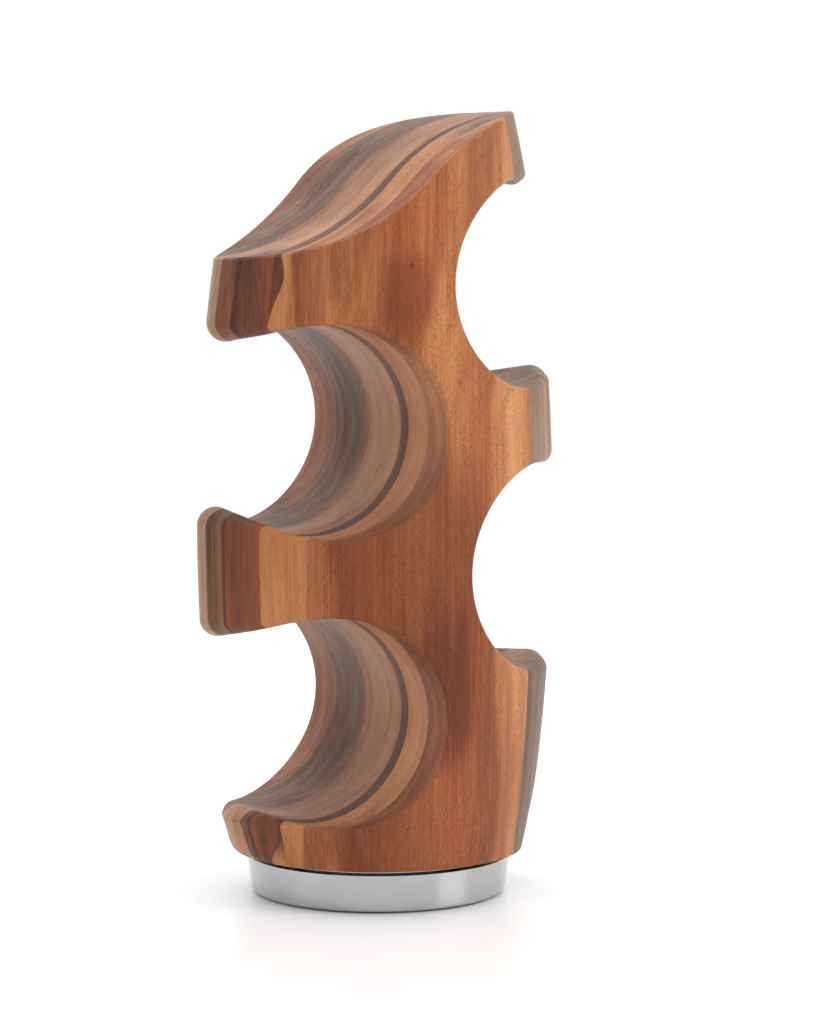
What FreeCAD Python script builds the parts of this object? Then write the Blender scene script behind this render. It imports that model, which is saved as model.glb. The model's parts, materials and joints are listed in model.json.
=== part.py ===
import FreeCAD, Part
import math
import os

from FreeCAD import Vector

# Wine rack: a carved block of face-glued boards with four open bottle notches,
# standing on a round polished base on which it turns. Millimetres, +Z up.
# The origin is on the table, on the axis that the rack turns about. Bottles lie along Y.

# Wooden body
overall_height = 332.6
half_width = 83.5
board_thickness = 18.2
board_names = [
    "front_outer_board",
    "front_middle_board",
    "front_inner_board",
    "core_board",
    "rear_inner_board",
    "rear_middle_board",
    "rear_outer_board",
]
widest_height = 158.6
oval_reach = 255.0
flank_power = 1.54
foot_radius = 61.5
foot_round_height = 30.0
edge_easing = 0.8

# Swept top: a hollow on the left that turns into a crest on the right
crest_offset = 59.0
crest_radius = 90.0
hollow_radius = 96.0
sweep_angle = math.radians(48.0)

# Bottle notches, counted from the lowest
notch_radius = 44.0
notch_pitch = 60.0
lowest_notch_height = 80.6
left_notch_offset = 43.5
right_notch_offset = 56.5
top_notch_offset = 48.0
lip_radius = 8.0
hook_lip_radius = 4.0
lip_end_radius = 2.6

# Base
base_top_radius = 56.4
base_foot_radius = 54.2
base_wall = 2.5
base_height = 16.4
base_foot_gap = 0.6
base_edge_round = 2.0
pan_radius = 46.0
pan_depth = 4.6
pad_thickness = 3.0
pad_inset = 1.5
ballast_inner_radius = 16.0

# Turntable
swivel_gap = 1.6
plate_radius = 57.4
plate_thickness = 1.0
race_inner_radius = 26.0
race_outer_radius = 38.0
race_thickness = 1.8
ball_radius = 2.4
ball_count = 16
ball_clearance = 0.05
cage_thickness = 1.2
cage_rim = 1.4

# Pivot
shoulder_radius = 6.0
thread_radius = 4.0
insert_wall = 2.5
insert_length = 20.0
insert_relief = 1.0
bolt_head_radius = 9.0
bolt_head_height = 2.7
bolt_socket_radius = 2.9
bolt_socket_depth = 1.6
bolt_head_gap = 1.5
washer_radius = 12.0
washer_thickness = 0.65
running_clearance = 0.05
bush_wall = 2.0
bush_flange_width = 3.0
bush_flange_thickness = 0.8

# Screws
plate_screw_radius = 2.0
plate_screw_head_radius = 3.7
plate_screw_length = 13.0
screw_point_length = 3.0
ballast_screw_radius = 1.6
ballast_screw_head_radius = 3.0
ballast_screw_head_height = 1.4
ballast_screw_circle = 42.0
ballast_screw_count = 3
ballast_screw_grip = 2.0
screw_socket_radius = 1.3
screw_socket_depth = 1.0

# Worked out from the sizes above
board_count = len(board_names)
half_depth = board_count * board_thickness / 2
base_underside = base_foot_gap
pan_floor = base_height - pan_depth
pan_underside = pan_floor - base_wall
plate_underside = base_height + swivel_gap
foot_height = plate_underside + plate_thickness
ball_height = (pan_floor + plate_underside) / 2
ball_circle = (race_inner_radius + race_outer_radius) / 2
insert_radius = thread_radius + insert_wall
bolt_head_top = pan_underside - running_clearance - washer_thickness
plate_screw_offset = 2 * board_thickness
clear_of_body = 20.0
outer_glue_line = half_depth - board_thickness
lip_run_out = 1.0
lip_overcut = 0.25
clear_of_lip = 3.0
spine_x = (notch_radius - left_notch_offset + top_notch_offset - notch_radius) / 2
seam_angle = math.asin(spine_x / half_width)


def cylinder(radius, low, high, x=0.0, y=0.0):
    return Part.makeCylinder(radius, high - low, Vector(x, y, low))


def ring(inner_radius, outer_radius, low, high):
    return cylinder(outer_radius, low, high).cut(cylinder(inner_radius, low, high))


def cone(low_radius, high_radius, low, high, x=0.0, y=0.0):
    return Part.makeCone(low_radius, high_radius, high - low, Vector(x, y, low))


def hexagon_socket(radius, low, high, x=0.0, y=0.0):
    corners = []
    for corner in range(7):
        angle = math.radians(60 * corner)
        corners.append(Vector(x + radius * math.cos(angle), y + radius * math.sin(angle), low))
    return Part.Face(Part.makePolygon(corners)).extrude(Vector(0, 0, high - low))


def turned(profile):
    """Solid of revolution about Z from (radius, height) corners."""
    corners = [Vector(radius, 0, height) for radius, height in profile]
    face = Part.Face(Part.makePolygon(corners + corners[:1]))
    return face.revolve(Vector(0, 0, 0), Vector(0, 0, 1), 360)


def around_circle(radius, count):
    for step in range(count):
        angle = 2 * math.pi * step / count
        yield radius * math.cos(angle), radius * math.sin(angle)


# Wooden body ---------------------------------------------------------------

def oval_half_width(height):
    return half_width * math.sqrt(1 - ((height - widest_height) / oval_reach) ** 2)


def plan_section(height, body_share):
    """Closed outline of the block; body_share runs from 0, the round foot, to 1."""
    width = foot_radius + (oval_half_width(height) - foot_radius) * body_share
    depth = foot_radius + (half_depth - foot_radius) * body_share
    power = 1 + (flank_power - 1) * body_share
    point_count = 32
    points = []
    for step in range(point_count):
        angle = seam_angle + 2 * math.pi * step / point_count
        reach = math.cos(angle)
        y = -depth * math.copysign(abs(reach) ** power, reach)
        points.append(Vector(width * math.sin(angle), y, height))
    outline = Part.BSplineCurve()
    outline.interpolate(Points=points, PeriodicFlag=True)
    return Part.Wire([outline.toShape()])


def block():
    sections = []
    for degrees in (0, 22.5, 45, 67.5):
        angle = math.radians(degrees)
        height = foot_height + foot_round_height * (1 - math.cos(angle))
        sections.append(plan_section(height, math.sin(angle)))
    body_start = foot_height + foot_round_height
    body_end = overall_height + clear_of_body / 2
    body_steps = 7
    for step in range(body_steps + 1):
        height = body_start + (body_end - body_start) * step / body_steps
        sections.append(plan_section(height, 1.0))
    return Part.makeLoft(sections, True, False)


def above_the_top():
    """Everything over the swept top, which runs the same from front to back."""
    bend_x = crest_offset - crest_radius * math.sin(sweep_angle)
    bend_z = overall_height - crest_radius * (1 - math.cos(sweep_angle))
    hollow_x = bend_x - hollow_radius * math.sin(sweep_angle)
    hollow_z = bend_z - hollow_radius * (1 - math.cos(sweep_angle))
    half = sweep_angle / 2
    y = -half_depth - clear_of_body
    side = half_width + clear_of_body
    lid = overall_height + clear_of_body
    hollow_start = Vector(hollow_x, y, hollow_z)
    hollow_middle = Vector(hollow_x + hollow_radius * math.sin(half), y,
                           hollow_z + hollow_radius * (1 - math.cos(half)))
    bend = Vector(bend_x, y, bend_z)
    crest_middle = Vector(crest_offset - crest_radius * math.sin(half), y,
                          overall_height - crest_radius * (1 - math.cos(half)))
    crest_end = Vector(crest_offset, y, overall_height)
    edges = [
        Part.makeLine(Vector(-side, y, hollow_z), hollow_start),
        Part.Arc(hollow_start, hollow_middle, bend).toShape(),
        Part.Arc(bend, crest_middle, crest_end).toShape(),
        Part.makeLine(crest_end, Vector(side, y, overall_height)),
        Part.makeLine(Vector(side, y, overall_height), Vector(side, y, lid)),
        Part.makeLine(Vector(side, y, lid), Vector(-side, y, lid)),
        Part.makeLine(Vector(-side, y, lid), Vector(-side, y, hollow_z)),
    ]
    return Part.Face(Part.Wire(edges)).extrude(Vector(0, -2 * y, 0))


def notch_centres():
    offsets = [-left_notch_offset, right_notch_offset, -left_notch_offset, top_notch_offset]
    for step, offset in enumerate(offsets):
        yield offset, lowest_notch_height + notch_pitch * step


def flank_share(y):
    """How far out the side lies at y, from 0 at the front or the back to 1 on the axis."""
    return math.sqrt(1 - (abs(y) / half_depth) ** (2 / flank_power))


def lip_section(notch_x, notch_z, up, full_radius, y):
    """What the rounding takes off a lip at y; up is 1 over the notch and -1 under it.

    The arc stands a hair proud of the side and of the notch, so that it cuts cleanly.
    """
    side = math.copysign(1, notch_x)
    fullness = max(math.cos(math.pi / 2 * y / outer_glue_line), 0) ** 3
    radius = lip_end_radius + (full_radius - lip_end_radius) * fullness
    share = flank_share(y)
    z = notch_z + up * notch_radius
    for refinement in range(6):
        flank = oval_half_width(z) * share
        rise = (oval_half_width(z + 1) - oval_half_width(z - 1)) / 2 * share
        slope = math.hypot(1, rise)
        x = side * (flank - (radius - lip_overcut) * slope)
        z = notch_z + up * math.sqrt((notch_radius + radius - lip_overcut) ** 2
                                     - (x - notch_x) ** 2)
    outward = Vector(side / slope, 0, -rise / slope)
    centre = Vector(x, y, z)
    inward = (Vector(notch_x, y, notch_z) - centre).normalize()
    middle = (outward + inward).normalize()
    corner_x = side * oval_half_width(z - up * radius) * share
    corner_z = notch_z + up * math.sqrt(notch_radius ** 2 - (corner_x - notch_x) ** 2)
    on_side = centre + outward * radius
    in_notch = centre + inward * radius
    beyond = Vector(corner_x + side * clear_of_lip, y, corner_z - 2.5 * up * clear_of_lip)
    return Part.Wire([
        Part.Arc(on_side, centre + middle * radius, in_notch).toShape(),
        Part.makeLine(in_notch, beyond),
        Part.makeLine(beyond, on_side + outward * clear_of_lip),
        Part.makeLine(on_side + outward * clear_of_lip, on_side),
    ])


def lip_cutter(notch_x, notch_z, up):
    top_notch_height = lowest_notch_height + 3 * notch_pitch
    under_hook = up > 0 and notch_z == top_notch_height
    full_radius = hook_lip_radius if under_hook else lip_radius
    sections = []
    for step in range(-10, 11):
        y = (outer_glue_line + lip_run_out) * step / 10
        sections.append(lip_section(notch_x, notch_z, up, full_radius, y))
    return Part.makeLoft(sections, True, False)


def runs_front_to_back(edge):
    box = edge.BoundBox
    return box.XLength < 0.05 and box.ZLength < 0.05


def carved_block():
    """The block with its top and its notches, before its edges are worked."""
    body = block().cut(above_the_top())
    length = 2 * (half_depth + clear_of_body)
    for x, z in notch_centres():
        start = Vector(x, -length / 2, z)
        body = body.cut(Part.makeCylinder(notch_radius, length, start, Vector(0, 1, 0)))
    return body.Solids[0]


def eased(body):
    """Small bevel round the notches and the top, on the front and the back."""
    sharp = []
    for edge in body.Edges:
        above_foot = edge.BoundBox.ZMax > foot_height + foot_round_height
        two_faces = len(body.ancestorsOfType(edge, Part.Face)) == 2
        if above_foot and two_faces and not runs_front_to_back(edge):
            sharp.append(edge)
    return body.makeChamfer(edge_easing, sharp)


def boards():
    """The block cut into its boards; the lips are rounded on all but the outer two."""
    sharp_body = eased(carved_block())
    rounded_body = sharp_body
    for notch_x, notch_z in notch_centres():
        for up in (-1, 1):
            rounded_body = rounded_body.cut(lip_cutter(notch_x, notch_z, up))
    for name, index in zip(board_names, range(board_count)):
        front = -half_depth + index * board_thickness
        back = front + board_thickness
        body = rounded_body
        if index == 0:
            body = sharp_body
            front -= clear_of_body
        if index == board_count - 1:
            body = sharp_body
            back += clear_of_body
        width = 2 * (half_width + clear_of_body)
        slab = Part.makeBox(width, back - front, overall_height + clear_of_body,
                            Vector(-width / 2, front, 0))
        yield name, body.common(slab)


# Turntable -----------------------------------------------------------------

def insert_hole():
    return cylinder(insert_radius, foot_height, foot_height + insert_length + insert_relief)


def threaded_insert():
    return ring(thread_radius, insert_radius, foot_height, foot_height + insert_length)


def pivot_bolt():
    head_low = bolt_head_top - bolt_head_height
    bolt = cylinder(bolt_head_radius, head_low, bolt_head_top)
    bolt = bolt.fuse(cylinder(shoulder_radius, bolt_head_top, foot_height))
    bolt = bolt.fuse(cylinder(thread_radius, foot_height, foot_height + insert_length))
    socket = hexagon_socket(bolt_socket_radius, head_low, head_low + bolt_socket_depth)
    return bolt.cut(socket).removeSplitter()


def thrust_washer():
    high = pan_underside - running_clearance
    return ring(shoulder_radius, washer_radius, bolt_head_top, high)


def flange_bush():
    inner = shoulder_radius + running_clearance
    outer = inner + bush_wall
    flange_top = pan_floor + bush_flange_thickness
    return turned([
        (inner, pan_underside),
        (outer, pan_underside),
        (outer, pan_floor),
        (outer + bush_flange_width, pan_floor),
        (outer + bush_flange_width, flange_top),
        (inner, flange_top),
    ])


def plate_screw_places():
    for x in (-plate_screw_offset, plate_screw_offset):
        for y in (-plate_screw_offset, plate_screw_offset):
            yield x, y


def plate_screw(x, y):
    top = foot_height + plate_screw_length
    head = cone(plate_screw_head_radius, plate_screw_radius, plate_underside, foot_height, x, y)
    shank = cylinder(plate_screw_radius, foot_height, top - screw_point_length, x, y)
    point = cone(plate_screw_radius, plate_screw_radius / 4, top - screw_point_length, top, x, y)
    return head.fuse(shank).fuse(point)


def plate_screw_socket(x, y):
    return hexagon_socket(screw_socket_radius, plate_underside,
                          plate_underside + screw_socket_depth, x, y)


def turntable_plate():
    plate = ring(shoulder_radius, plate_radius, plate_underside, foot_height)
    for x, y in plate_screw_places():
        plate = plate.cut(plate_screw(x, y))
    return plate


def ball_track():
    radius = ball_radius + ball_clearance
    return Part.makeTorus(ball_circle, radius, Vector(0, 0, ball_height))


def lower_race():
    body = ring(race_inner_radius, race_outer_radius, pan_floor, pan_floor + race_thickness)
    return body.cut(ball_track())


def upper_race():
    low = plate_underside - race_thickness
    return ring(race_inner_radius, race_outer_radius, low, plate_underside).cut(ball_track())


def bearing_balls():
    balls = []
    for x, y in around_circle(ball_circle, ball_count):
        balls.append(Part.makeSphere(ball_radius, Vector(x, y, ball_height)))
    return Part.makeCompound(balls)


def ball_cage():
    reach = ball_radius + cage_rim
    low = ball_height - cage_thickness / 2
    high = ball_height + cage_thickness / 2
    cage = ring(ball_circle - reach, ball_circle + reach, low, high)
    for x, y in around_circle(ball_circle, ball_count):
        cage = cage.cut(cylinder(ball_radius + ball_clearance, low, high, x, y))
    return cage


# Base ----------------------------------------------------------------------

def outer_radius_at(height):
    share = (height - base_underside) / (base_height - base_underside)
    return base_foot_radius + (base_top_radius - base_foot_radius) * share


def base_shell():
    shelf = base_height - base_wall
    bush_radius = shoulder_radius + running_clearance + bush_wall
    shell = turned([
        (outer_radius_at(base_underside), base_underside),
        (base_top_radius, base_height),
        (pan_radius, base_height),
        (pan_radius, pan_floor),
        (bush_radius, pan_floor),
        (bush_radius, pan_underside),
        (pan_radius + base_wall, pan_underside),
        (pan_radius + base_wall, shelf),
        (outer_radius_at(shelf) - base_wall, shelf),
        (outer_radius_at(base_underside) - base_wall, base_underside),
    ])
    rims = []
    for edge in shell.Edges:
        box = edge.BoundBox
        at_foot = box.ZMax < base_underside + 0.01
        if at_foot and box.XMax > base_foot_radius - 0.01:
            rims.append(edge)
    shell = shell.makeFillet(base_edge_round, rims)
    for x, y in around_circle(ballast_screw_circle, ballast_screw_count):
        shell = shell.cut(ballast_screw(x, y))
    return shell


def ballast_screw(x, y):
    head_high = pad_thickness + ballast_screw_head_height
    head = cone(ballast_screw_head_radius, ballast_screw_radius, pad_thickness, head_high, x, y)
    shank = cylinder(ballast_screw_radius, head_high, pan_underside + ballast_screw_grip, x, y)
    return head.fuse(shank)


def ballast_screw_socket(x, y):
    return hexagon_socket(screw_socket_radius, pad_thickness, pad_thickness + screw_socket_depth,
                          x, y)


def ballast_ring():
    outer = base_foot_radius - base_wall - pad_inset / 2
    disc = ring(ballast_inner_radius, outer, pad_thickness, pan_underside)
    for x, y in around_circle(ballast_screw_circle, ballast_screw_count):
        disc = disc.cut(ballast_screw(x, y))
    return disc


def anti_slip_pad():
    outer = base_foot_radius - base_wall - pad_inset
    return ring(bolt_head_radius + bolt_head_gap, outer, 0.0, pad_thickness)


# Assembly ------------------------------------------------------------------

def plate_screws():
    screws = []
    for x, y in plate_screw_places():
        screws.append(plate_screw(x, y).cut(plate_screw_socket(x, y)))
    return Part.makeCompound(screws)


def ballast_screws():
    screws = []
    for x, y in around_circle(ballast_screw_circle, ballast_screw_count):
        screws.append(ballast_screw(x, y).cut(ballast_screw_socket(x, y)))
    return Part.makeCompound(screws)


parts = {}
for board_name, board in boards():
    if board_name == "core_board":
        board = board.cut(insert_hole())
    for screw_x, screw_y in plate_screw_places():
        board = board.cut(plate_screw(screw_x, screw_y))
    parts[board_name] = board

parts["threaded_insert"] = threaded_insert()
parts["turntable_plate"] = turntable_plate()
parts["plate_screws"] = plate_screws()
parts["upper_race"] = upper_race()
parts["bearing_balls"] = bearing_balls()
parts["ball_cage"] = ball_cage()
parts["lower_race"] = lower_race()
parts["pivot_bolt"] = pivot_bolt()
parts["thrust_washer"] = thrust_washer()
parts["flange_bush"] = flange_bush()
parts["base_shell"] = base_shell()
parts["ballast_ring"] = ballast_ring()
parts["ballast_screws"] = ballast_screws()
parts["anti_slip_pad"] = anti_slip_pad()

os.makedirs("parts", exist_ok=True)
for node, shape in parts.items():
    shape.exportStep("parts/" + node + ".step")
    box = shape.BoundBox
    print(node, len(shape.Solids), shape.isValid(), round(shape.Volume),
          round(box.XMin, 2), round(box.XMax, 2), round(box.YMin, 2), round(box.YMax, 2),
          round(box.ZMin, 2), round(box.ZMax, 2))
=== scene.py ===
import json
import math

import bmesh
import bpy
from mathutils import Matrix, Vector


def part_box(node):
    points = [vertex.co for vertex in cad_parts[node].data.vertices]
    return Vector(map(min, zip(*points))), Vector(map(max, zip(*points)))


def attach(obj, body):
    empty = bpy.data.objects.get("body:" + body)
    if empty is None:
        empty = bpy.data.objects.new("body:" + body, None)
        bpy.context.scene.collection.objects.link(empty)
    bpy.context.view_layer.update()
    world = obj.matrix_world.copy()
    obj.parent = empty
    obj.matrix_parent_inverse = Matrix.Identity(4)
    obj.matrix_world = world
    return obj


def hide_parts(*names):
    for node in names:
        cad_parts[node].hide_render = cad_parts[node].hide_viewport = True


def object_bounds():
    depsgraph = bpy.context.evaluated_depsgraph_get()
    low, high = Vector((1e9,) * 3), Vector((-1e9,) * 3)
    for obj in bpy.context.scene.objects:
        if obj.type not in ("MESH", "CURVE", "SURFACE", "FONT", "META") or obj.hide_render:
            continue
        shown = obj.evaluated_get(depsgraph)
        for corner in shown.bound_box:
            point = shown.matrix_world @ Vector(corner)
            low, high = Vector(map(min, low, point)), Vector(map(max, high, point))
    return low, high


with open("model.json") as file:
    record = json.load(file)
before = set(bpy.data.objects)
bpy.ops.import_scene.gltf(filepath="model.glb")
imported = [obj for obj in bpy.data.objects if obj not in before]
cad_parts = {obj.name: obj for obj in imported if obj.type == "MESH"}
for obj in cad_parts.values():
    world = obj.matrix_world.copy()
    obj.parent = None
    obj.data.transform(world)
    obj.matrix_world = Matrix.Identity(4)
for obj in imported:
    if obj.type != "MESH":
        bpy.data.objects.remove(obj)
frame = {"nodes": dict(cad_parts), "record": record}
cad_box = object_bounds()
nodes = frame["nodes"]

# Wine rack: the finishes of its pieces and the studio that it stands in. Pieces keep the
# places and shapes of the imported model. Materials work in millimetres, the rest in metres.
MM = 0.001
LOWEST, HIGHEST = cad_box
HEIGHT = HIGHEST[2] - LOWEST[2]
MERGE_WITHIN = 2e-6
SMOOTH_BELOW = math.radians(28.0)


# Shader building -----------------------------------------------------------

class Value:
    """A shader socket that can be used in sums."""

    def __init__(self, finish, socket):
        self.finish = finish
        self.socket = socket

    def _with(self, operation, first, second):
        return self.finish.node("ShaderNodeMath", {"operation": operation}, [first, second])

    def __add__(self, other):
        return self._with("ADD", self, other)

    def __radd__(self, other):
        return self._with("ADD", other, self)

    def __sub__(self, other):
        return self._with("SUBTRACT", self, other)

    def __rsub__(self, other):
        return self._with("SUBTRACT", other, self)

    def __mul__(self, other):
        return self._with("MULTIPLY", self, other)

    def __rmul__(self, other):
        return self._with("MULTIPLY", other, self)

    def __truediv__(self, other):
        return self._with("DIVIDE", self, other)

    def __rtruediv__(self, other):
        return self._with("DIVIDE", other, self)


class Finish:
    """One material and the nodes that it is made of."""

    def __init__(self, name, shown_colour):
        self.material = bpy.data.materials.new(name)
        self.material.use_nodes = True
        self.material.diffuse_color = (*shown_colour, 1.0)
        self.tree = self.material.node_tree
        self.tree.nodes.clear()
        self.surface = self.tree.nodes.new("ShaderNodeBsdfPrincipled")
        output = self.tree.nodes.new("ShaderNodeOutputMaterial")
        self.tree.links.new(self.surface.outputs["BSDF"], output.inputs["Surface"])
        self.point = self.node("ShaderNodeTexCoord", output="Object")

    def node(self, kind, settings=None, values=None, output=0):
        """Adds a node; values is a list by position or a dict by socket name."""
        made = self.tree.nodes.new(kind)
        for name, setting in (settings or {}).items():
            if name == "stops":
                self._set_stops(made.color_ramp, setting)
            else:
                setattr(made, name, setting)
        pairs = values.items() if isinstance(values, dict) else enumerate(values or [])
        for place, value in pairs:
            self._feed(made.inputs[place], value)
        return Value(self, made.outputs[output])

    def _feed(self, socket, value):
        if isinstance(value, Value):
            self.tree.links.new(value.socket, socket)
        else:
            socket.default_value = value

    def _set_stops(self, ramp, stops):
        while len(ramp.elements) < len(stops):
            ramp.elements.new(0.5)
        for element, (place, colour) in zip(ramp.elements, stops):
            element.position = place
            element.color = (*colour, 1.0)

    def set(self, **sockets):
        """Feeds the surface shader's sockets, with _ for a space in their names."""
        for name, value in sockets.items():
            self._feed(self.surface.inputs[name.replace("_", " ")], value)

    # Common patterns

    def axes(self):
        """The point's X, Y and Z in millimetres."""
        split = self.tree.nodes.new("ShaderNodeSeparateXYZ")
        self.tree.links.new(self.point.socket, split.inputs[0])
        return [Value(self, socket) / MM for socket in split.outputs]

    def noise(self, across, along, detail=2.0, offset=0.0, roughness=0.5):
        """Noise with features of one size across the grain and another along it, in mm."""
        across_scale = 1 / (across * MM)
        along_scale = 1 / (along * MM)
        stretched = self.node("ShaderNodeMapping", values={
            "Vector": self.point,
            "Location": (offset, offset * 0.7, offset * 1.3),
            "Scale": (across_scale, across_scale, along_scale)})
        return self.node("ShaderNodeTexNoise", {"noise_dimensions": "3D"}, {
            "Vector": stretched, "Scale": 1.0, "Detail": detail, "Roughness": roughness})

    def ramp(self, value, stops):
        """A run of colours, each at its place from 0 to 1."""
        return self.node("ShaderNodeValToRGB", {"stops": stops}, [value])

    def sine(self, value):
        return self.node("ShaderNodeMath", {"operation": "SINE"}, [value])

    def rise(self, value, low, high):
        """0 below low, 1 above high, smooth between."""
        return self.node("ShaderNodeMapRange", {"interpolation_type": "SMOOTHSTEP"}, {
            "Value": value, "From Min": low, "From Max": high})

    def mix(self, share, first, second):
        """The first colour where share is 0, the second where it is 1."""
        made = self.tree.nodes.new("ShaderNodeMix")
        made.data_type = "RGBA"
        share_socket, first_socket, second_socket = (made.inputs[place] for place in (0, 6, 7))
        self._feed(share_socket, share)
        for socket, colour in ((first_socket, first), (second_socket, second)):
            self._feed(socket, (*colour, 1.0) if isinstance(colour, tuple) else colour)
        return Value(self, made.outputs[2])

    def bump(self, height, strength, distance):
        """Relief for the surface's normal; the distance is in metres."""
        return self.node("ShaderNodeBump", values={
            "Strength": strength, "Distance": distance, "Height": height})


# Wood ----------------------------------------------------------------------

# Places that the wood's colours follow: the front of the front inner board, along Y, and
# the heights between which the upper left tip starts
INNER_BOARD_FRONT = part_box("front_inner_board")[0][1] / MM
UPPER_TIP_START = (205.0, 225.0)

# Four tones for each kind of wood, from dark to light
heart_orange = [(0.150, 0.032, 0.009), (0.265, 0.066, 0.018), (0.370, 0.110, 0.031),
                (0.475, 0.168, 0.055)]
pale_orange = [(0.34, 0.112, 0.032), (0.45, 0.168, 0.052), (0.56, 0.235, 0.082),
               (0.64, 0.310, 0.125)]
honey = [(0.300, 0.095, 0.026), (0.400, 0.150, 0.046), (0.480, 0.195, 0.070),
         (0.560, 0.260, 0.105)]
chocolate = [(0.052, 0.013, 0.006), (0.104, 0.027, 0.011), (0.165, 0.044, 0.018),
             (0.240, 0.068, 0.027)]
walnut = [(0.055, 0.022, 0.011), (0.105, 0.046, 0.024), (0.165, 0.080, 0.044),
          (0.240, 0.130, 0.076)]
grey_walnut = [(0.085, 0.040, 0.021), (0.165, 0.088, 0.049), (0.245, 0.140, 0.083),
               (0.345, 0.215, 0.140)]
tan = [(0.240, 0.100, 0.046), (0.330, 0.145, 0.070), (0.400, 0.185, 0.096),
       (0.470, 0.240, 0.132)]
sapwood = [(0.270, 0.150, 0.085), (0.350, 0.205, 0.125), (0.420, 0.260, 0.165),
           (0.480, 0.310, 0.205)]
russet = [(0.120, 0.038, 0.016), (0.200, 0.066, 0.028), (0.280, 0.102, 0.046),
          (0.370, 0.150, 0.072)]
flecked_orange = [(0.175, 0.048, 0.015), (0.275, 0.082, 0.026), (0.360, 0.122, 0.041),
                  (0.450, 0.172, 0.064)]

# Single colours for pores, knots, lines and the painted shadow and shade on the front
pore_brown = (0.030, 0.012, 0.006)
wave_red = (0.190, 0.042, 0.011)
patch_red = (0.190, 0.040, 0.010)
# Dark red of the painted shadow in the middle of the front
painted_shadow_red = (0.115, 0.022, 0.005)
# Red of the painted shade over the foot of the front
foot_painted_shade_red = (0.120, 0.028, 0.009)
knot_brown = (0.060, 0.018, 0.008)
flame_red = (0.240, 0.050, 0.018)
line_brown = (0.045, 0.018, 0.010)
streak_brown = (0.050, 0.020, 0.011)


class Timber:
    """One board's wood: its fields of tone and the places that take another colour.

    The seed sets where the noise is read, figure how strongly the rings show and pores how
    dark the pores are.
    """

    def __init__(self, name, tones, seed, figure, pores):
        self.finish = Finish(name, tones[1])
        self.seed = seed
        self.pore_share = pores
        finish = self.finish
        self.x, self.y, self.z = finish.axes()
        self.drift = finish.noise(30, 130, detail=2.0, offset=seed)
        wander = finish.noise(8, 80, detail=3.0, offset=seed + 4)
        rings = self.y / 3.1 + self.x * 0.06 + self.drift * 9.0 + wander * 2.2
        ring_wave = finish.sine(rings * 2.0)
        self.streaks = finish.noise(1.1, 55, detail=4.0, offset=seed + 9, roughness=0.62)
        self.fibre = finish.noise(0.30, 8, detail=2.0, offset=seed + 15)
        # The weights keep most of the tone between the first and the last stop of a ramp.
        self.tone = (self.drift * 1.15 + self.streaks * 0.66 + self.fibre * 0.20
                     + ring_wave * (0.06 * figure) - 0.51)
        self.colour = self.tinted(tones)

    def tinted(self, tones):
        """The board's own pattern in a kind of wood."""
        return self.finish.ramp(self.tone, [(0.22, tones[0]), (0.42, tones[1]),
                                            (0.60, tones[2]), (0.82, tones[3])])

    def take(self, share, tones):
        """Changes to other tones where share is 1."""
        self.colour = self.finish.mix(share, self.colour, self.tinted(tones))

    def shade(self, share, colour):
        """Changes to one colour where share is 1."""
        self.colour = self.finish.mix(share, self.colour, colour)

    def ripple(self, size, along, offset=0.0):
        """A wandering edge, about -1 to 1."""
        return self.finish.noise(size, along, detail=2.0, offset=self.seed + offset) * 4 - 2

    def spot(self, x, z, half_wide, half_tall, softness=0.5):
        """1 at a place on the front, falling to 0 round it."""
        across = (self.x - x) / half_wide
        upward = (self.z - z) / half_tall
        distance = across * across + upward * upward
        return 1 - self.finish.rise(distance, 1 - softness, 1 + softness)

    def finished(self):
        """The material, with its pores and a satin oiled surface."""
        finish = self.finish
        pore_field = finish.noise(0.24, 1.7, detail=1.0, offset=self.seed + 21)
        pore_zone = finish.noise(12, 60, detail=1.0, offset=self.seed + 27)
        pores = finish.rise(pore_field + pore_zone * 0.18, 0.655, 0.735)
        dark = finish.mix(0.62, self.colour, pore_brown)
        colour = finish.mix(pores * self.pore_share, self.colour, dark)
        relief = self.fibre * 0.35 + self.streaks * 0.25 - pores * 0.6
        finish.set(Base_Color=colour,
                   Roughness=0.40 + self.fibre * 0.10 + pores * 0.12,
                   Normal=finish.bump(relief, 0.16, 0.00018),
                   Specular_IOR_Level=0.26)
        return finish.material


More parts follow.
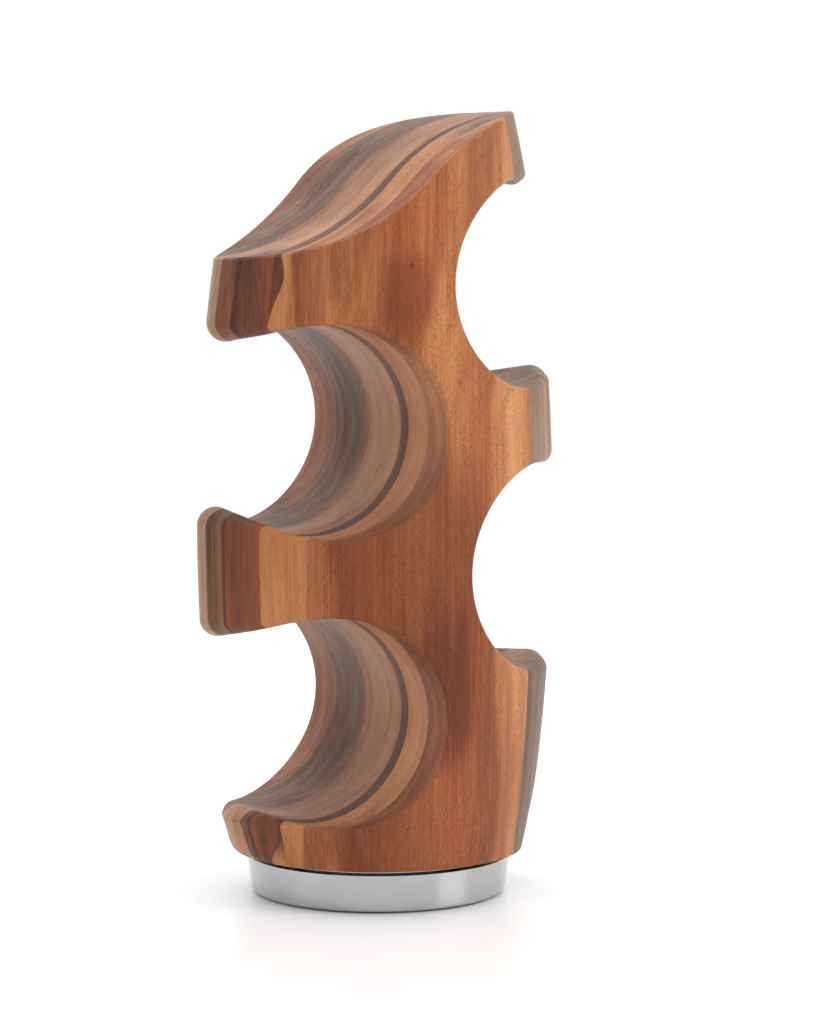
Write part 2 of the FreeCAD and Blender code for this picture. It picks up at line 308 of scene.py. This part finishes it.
def front_outer_wood():
    """Orange heartwood, paler on the right and at the upper left, with a dark red painted
    shadow in the middle and painted shade over the foot.
    """
    timber = Timber("front_outer_board_wood", heart_orange, 3.0, 1.2, 0.80)
    rise = timber.finish.rise
    edge = timber.ripple(16, 120, 40)
    timber.take(rise(timber.x + edge * 5, 10.0, 40.0) * 0.80, pale_orange)
    # The edge of the paler wood is furthest to the right at a height of 296 mm.
    bow = (timber.z - 296) / 70
    arch = timber.x / 17 + bow * bow
    timber.take(rise(arch + edge * 0.25, -0.70, 0.60) * rise(timber.z, 195.0, 255.0) * 0.50,
                pale_orange)
    upper_left = (1 - rise(timber.x + edge * 3, -42.0, -18.0)) * rise(timber.z, 190.0, 215.0)
    timber.take(upper_left * 0.60, pale_orange)
    wave = timber.finish.sine(arch * 7.0 + edge * 1.6 + timber.drift * 6.0)
    timber.shade(rise(wave, 0.0, 1.0) * rise(timber.z, 190.0, 225.0) * 0.30, wave_red)
    neck = timber.spot(6, 222, 17, 40, 0.95)
    timber.take(neck * 0.40, pale_orange)
    # Painted shadow: a dark red patch in the middle of the front stands in for a cast shadow.
    middle_painted_shadow = timber.spot(-16, 142, 32, 58, 0.8)
    timber.shade(middle_painted_shadow * 0.56, painted_shadow_red)
    # Painted shade: the lower left and middle of the front are darkened towards the foot.
    foot = (1 - rise(timber.z + edge * 6, 40.0, 75.0)) * (1 - rise(timber.x, -20.0, 14.0))
    timber.shade(foot * 0.45, foot_painted_shade_red)
    patch = timber.spot(-17, 257, 11, 17, 0.7)
    timber.shade(patch * 0.55, patch_red)
    pin_knot = timber.spot(-15.5, 268.5, 0.8, 1.3)
    timber.shade(pin_knot * 0.60, knot_brown)
    return timber.finished()


def front_middle_wood():
    """Honey strip on the left with a waisted outline, grey-brown heart on the right."""
    timber = Timber("front_middle_board_wood", honey, 17.0, 0.8, 0.45)
    rise = timber.finish.rise
    on_left = 1 - rise(timber.x, -24.0, -14.0)
    # The flecked wood lies in front of an edge that is furthest forward 144.6 mm up.
    climb = (timber.z - 144.6) / 119
    fleck_edge = climb * climb * 7.5 - 42.0
    fleck = (1 - rise(timber.y - fleck_edge, -0.5, 0.5)) * on_left
    timber.take(fleck, flecked_orange)
    # The dark heart swells 264 mm up, so the honey strip is narrowest there.
    waist = (timber.z - 264) / 13
    dark_edge = -25.5 - 6.2 / (1 + waist * waist)
    dark = rise(timber.y - dark_edge, -0.4, 0.4) * on_left
    timber.take(dark, chocolate)
    timber.take(rise(timber.x, 8.0, 26.0), grey_walnut)
    return timber.finished()


def front_inner_wood():
    """Chocolate heart on the left that thins to a streak over the tan of the top."""
    timber = Timber("front_inner_board_wood", chocolate, 31.0, 1.4, 0.35)
    rise = timber.finish.rise
    flame = timber.finish.noise(2.4, 90, detail=3.0, offset=36.0)
    timber.shade(rise(flame, 0.56, 0.70) * 0.55, flame_red)
    from_line = timber.y + 12.7 + timber.ripple(20, 140, 50) * 0.4
    timber.shade((1 - rise(from_line * from_line, 0.05, 0.8)) * 0.8, line_brown)
    tip = rise(timber.y, -12.2, -11.6)
    timber.take(tip * 0.8, walnut)
    timber.take(tip * rise(timber.z, *UPPER_TIP_START) * 0.85, russet)
    inland = rise(timber.x, -60.0, -48.0)
    thinning = rise(timber.x, -56.0, 34.0)
    streak_edge = thinning * -4.0 - 18.0
    past_streak = timber.y - streak_edge
    timber.take(rise(past_streak, -0.8, 0.8) * inland, tan)
    timber.shade((1 - rise(past_streak, -3.0, 0.5)) * inland * 0.5, streak_brown)
    foot = 1 - rise(timber.z, 18.0, 33.0)
    past_front = timber.y - INNER_BOARD_FRONT - foot * 8
    timber.take((1 - rise(past_front, -0.5, 0.5)) * foot, honey)
    timber.take(rise(timber.x, 34.0, 52.0) * 0.85, grey_walnut)
    return timber.finished()


def core_wood():
    """Pale sapwood down the left-hand tip, tan over the top."""
    timber = Timber("core_board_wood", tan, 47.0, 0.7, 0.40)
    rise = timber.finish.rise
    on_left = 1 - rise(timber.x, -74.0, -66.0)
    timber.take(on_left, sapwood)
    heart = (1 - rise(timber.y + 4.5, -0.5, 0.5)) * on_left
    timber.take(heart, walnut)
    timber.take(heart * rise(timber.z, *UPPER_TIP_START) * 0.85, russet)
    timber.take(rise(timber.y, 4.0, 7.5) * 0.5, russet)
    timber.take(rise(timber.x, 40.0, 58.0) * 0.85, grey_walnut)
    return timber.finished()


def rear_inner_wood():
    """Dark walnut behind a thin red-brown line."""
    timber = Timber("rear_inner_board_wood", walnut, 59.0, 1.3, 0.4)
    line = 1 - timber.finish.rise(timber.y, 12.2, 13.0)
    timber.take(line, russet)
    return timber.finished()


def rear_middle_wood():
    """Dark walnut with red-brown flames."""
    timber = Timber("rear_middle_board_wood", walnut, 71.0, 1.5, 0.45)
    flame = timber.finish.noise(4.0, 110, detail=3.0, offset=76.0)
    timber.take(timber.finish.rise(flame, 0.50, 0.68) * 0.7, russet)
    return timber.finished()


def rear_outer_wood():
    """Red-brown heartwood that turns to honey on the right."""
    timber = Timber("rear_outer_board_wood", russet, 83.0, 1.3, 0.7)
    edge = timber.ripple(20, 130, 60) * 6
    timber.take(timber.finish.rise(timber.x + edge, 0.0, 44.0) * 0.7, honey)
    return timber.finished()


def board_woods():
    """The seven boards, from front to back."""
    return {
        "front_outer_board": front_outer_wood(),
        "front_middle_board": front_middle_wood(),
        "front_inner_board": front_inner_wood(),
        "core_board": core_wood(),
        "rear_inner_board": rear_inner_wood(),
        "rear_middle_board": rear_middle_wood(),
        "rear_outer_board": rear_outer_wood(),
    }


# Metals and plastics --------------------------------------------------------

def polished_chrome():
    """Chrome with a faint smear and finer upright hairlines."""
    finish = Finish("polished_chrome", (0.8, 0.81, 0.82))
    smear = finish.noise(14, 14, detail=3.0, offset=2.0)
    hairline = finish.noise(0.3, 6, detail=2.0, offset=8.0)
    finish.set(Base_Color=finish.mix(smear, (0.43, 0.433, 0.437), (0.52, 0.523, 0.527)),
               Metallic=1.0,
               Roughness=0.13 + smear * 0.06,
               Normal=finish.bump(hairline, 0.02, 0.0001))
    return finish.material


def machined_metal(name, dark, light, roughness):
    """Bright metal with fine upright tool marks."""
    finish = Finish(name, light)
    grain = finish.noise(0.5, 3.0, detail=3.0, offset=5.0)
    finish.set(Base_Color=finish.mix(grain, dark, light),
               Metallic=1.0,
               Roughness=roughness + grain * 0.12,
               Normal=finish.bump(grain, 0.08, 0.0001))
    return finish.material


def cast_iron():
    """Iron with a pitted skin of black paint."""
    finish = Finish("painted_cast_iron", (0.03, 0.03, 0.032))
    pitting = finish.noise(1.2, 1.2, detail=5.0, offset=1.0, roughness=0.7)
    finish.set(Base_Color=finish.mix(pitting, (0.02, 0.02, 0.022), (0.05, 0.05, 0.05)),
               Metallic=0.3,
               Roughness=0.55 + pitting * 0.3,
               Normal=finish.bump(pitting, 0.5, 0.0004))
    return finish.material


def moulded_nylon(name, dark, light):
    """Nylon with the soft mottle of a moulding."""
    finish = Finish(name, light)
    mottle = finish.noise(2.0, 2.0, detail=3.0, offset=3.0)
    finish.set(Base_Color=finish.mix(mottle, dark, light),
               Roughness=0.42 + mottle * 0.12,
               Normal=finish.bump(mottle, 0.08, 0.0002))
    return finish.material


def pad_rubber():
    """Dull black rubber with a grainy face."""
    finish = Finish("pad_rubber", (0.02, 0.02, 0.02))
    grain = finish.noise(0.6, 0.6, detail=4.0, offset=6.0, roughness=0.7)
    finish.set(Base_Color=finish.mix(grain, (0.010, 0.010, 0.011), (0.035, 0.035, 0.035)),
               Roughness=0.78 + grain * 0.15,
               Normal=finish.bump(grain, 0.6, 0.0003))
    return finish.material


# Pieces --------------------------------------------------------------------

def smooth_copy(node):
    """A merged, smooth-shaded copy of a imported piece, in the same place."""
    source = nodes[node]
    built = bmesh.new()
    built.from_mesh(source.data)
    bmesh.ops.remove_doubles(built, verts=built.verts, dist=MERGE_WITHIN)
    bmesh.ops.dissolve_degenerate(built, edges=built.edges, dist=MERGE_WITHIN / 2)
    for face in built.faces:
        face.smooth = True
    for edge in built.edges:
        if len(edge.link_faces) == 2:
            edge.smooth = edge.calc_face_angle() < SMOOTH_BELOW
    mesh = bpy.data.meshes.new(node + "_finished")
    built.to_mesh(mesh)
    built.free()
    piece = bpy.data.objects.new(node + "_finished", mesh)
    bpy.context.scene.collection.objects.link(piece)
    return piece


def finish_piece(node, body, material):
    """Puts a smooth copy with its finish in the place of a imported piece."""
    piece = smooth_copy(node)
    piece.data.materials.append(material)
    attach(piece, body)
    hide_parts(node)


bodies = {}
for body_name, members in frame["record"]["behaviour"]["bodies"].items():
    for member in members:
        bodies[member] = body_name

materials = board_woods()
chrome = polished_chrome()
zinc = machined_metal("zinc_plated_steel", (0.50, 0.50, 0.48), (0.66, 0.66, 0.64), 0.28)
ground_steel = machined_metal("ground_steel", (0.45, 0.46, 0.48), (0.62, 0.63, 0.65), 0.18)
nylon = moulded_nylon("natural_nylon", (0.74, 0.71, 0.63), (0.84, 0.82, 0.75))
black_nylon = moulded_nylon("black_nylon", (0.02, 0.02, 0.02), (0.05, 0.05, 0.05))
materials.update({
    "turntable_plate": chrome,
    "base_shell": chrome,
    "plate_screws": zinc,
    "ballast_screws": zinc,
    "pivot_bolt": zinc,
    "upper_race": ground_steel,
    "lower_race": ground_steel,
    "bearing_balls": ground_steel,
    "ball_cage": nylon,
    "thrust_washer": black_nylon,
    "flange_bush": black_nylon,
    "threaded_insert": machined_metal("insert_brass", (0.55, 0.38, 0.14), (0.74, 0.54, 0.24),
                                      0.25),
    "ballast_ring": cast_iron(),
    "anti_slip_pad": pad_rubber(),
})
for node_name in nodes:
    finish_piece(node_name, bodies[node_name], materials[node_name])


# Studio --------------------------------------------------------------------

def studio_floor():
    """A sheet of pale paper that runs far past the rack."""
    paper = Finish("floor_paper", (0.99, 0.99, 0.99))
    paper.set(Base_Color=(0.99, 0.99, 0.99, 1.0), Roughness=0.25)
    size = 6.0
    mesh = bpy.data.meshes.new("studio_floor")
    corners = [(-size, -size, 0), (size, -size, 0), (size, size, 0), (-size, size, 0)]
    mesh.from_pydata(corners, [], [(0, 1, 2, 3)])
    floor = bpy.data.objects.new("studio_floor", mesh)
    bpy.context.scene.collection.objects.link(floor)
    floor.data.materials.append(paper.material)


def softbox(name, place, target, width, height, power):
    """A soft lamp at place that faces the target."""
    light = bpy.data.lights.new(name, "AREA")
    light.shape = "RECTANGLE"
    light.size = width
    light.size_y = height
    light.energy = power
    lamp = bpy.data.objects.new(name, light)
    bpy.context.scene.collection.objects.link(lamp)
    aim = Vector(target) - Vector(place)
    lamp.matrix_world = (Matrix.Translation(place)
                         @ aim.to_track_quat("-Z", "Y").to_matrix().to_4x4())


def studio_light():
    """A white room with two weak softboxes."""
    world = bpy.data.worlds.new("studio_room")
    bpy.context.scene.world = world
    world.use_nodes = True
    background = world.node_tree.nodes["Background"]
    background.inputs["Color"].default_value = (1.0, 1.0, 1.0, 1.0)
    background.inputs["Strength"].default_value = 1.0
    bpy.context.scene.view_settings.view_transform = "Standard"
    centre = (0.0, 0.0, HEIGHT / 2)
    softbox("key_from_the_right", (1.1, -1.1, 1.0), centre, width=0.8, height=1.0, power=9.0)
    softbox("overhead", (0.0, 0.3, 1.6), centre, width=1.4, height=1.0, power=9.0)


def camera():
    """A long lens, low and to the left of the front, that aims a little right of the axis."""
    azimuth = math.radians(27.2)
    elevation = math.radians(5.31)
    distance = 1482.0 * MM
    aim_across = 13.4 * MM
    aim_height = 162.6 * MM
    across = Vector((math.cos(azimuth), -math.sin(azimuth), 0.0))
    back = Vector((-math.sin(azimuth) * math.cos(elevation),
                   -math.cos(azimuth) * math.cos(elevation), math.sin(elevation)))
    upward = back.cross(across)
    centre = across * aim_across + Vector((0.0, 0.0, aim_height))
    lens = bpy.data.cameras.new("camera")
    lens.lens = 122.3
    lens.sensor_width = 36.0
    lens.clip_end = 50.0
    view = bpy.data.objects.new("camera", lens)
    bpy.context.scene.collection.objects.link(view)
    turn = Matrix((across, upward, back)).transposed().to_4x4()
    view.matrix_world = Matrix.Translation(centre + back * distance) @ turn
    bpy.context.scene.camera = view


studio_floor()
studio_light()
camera()
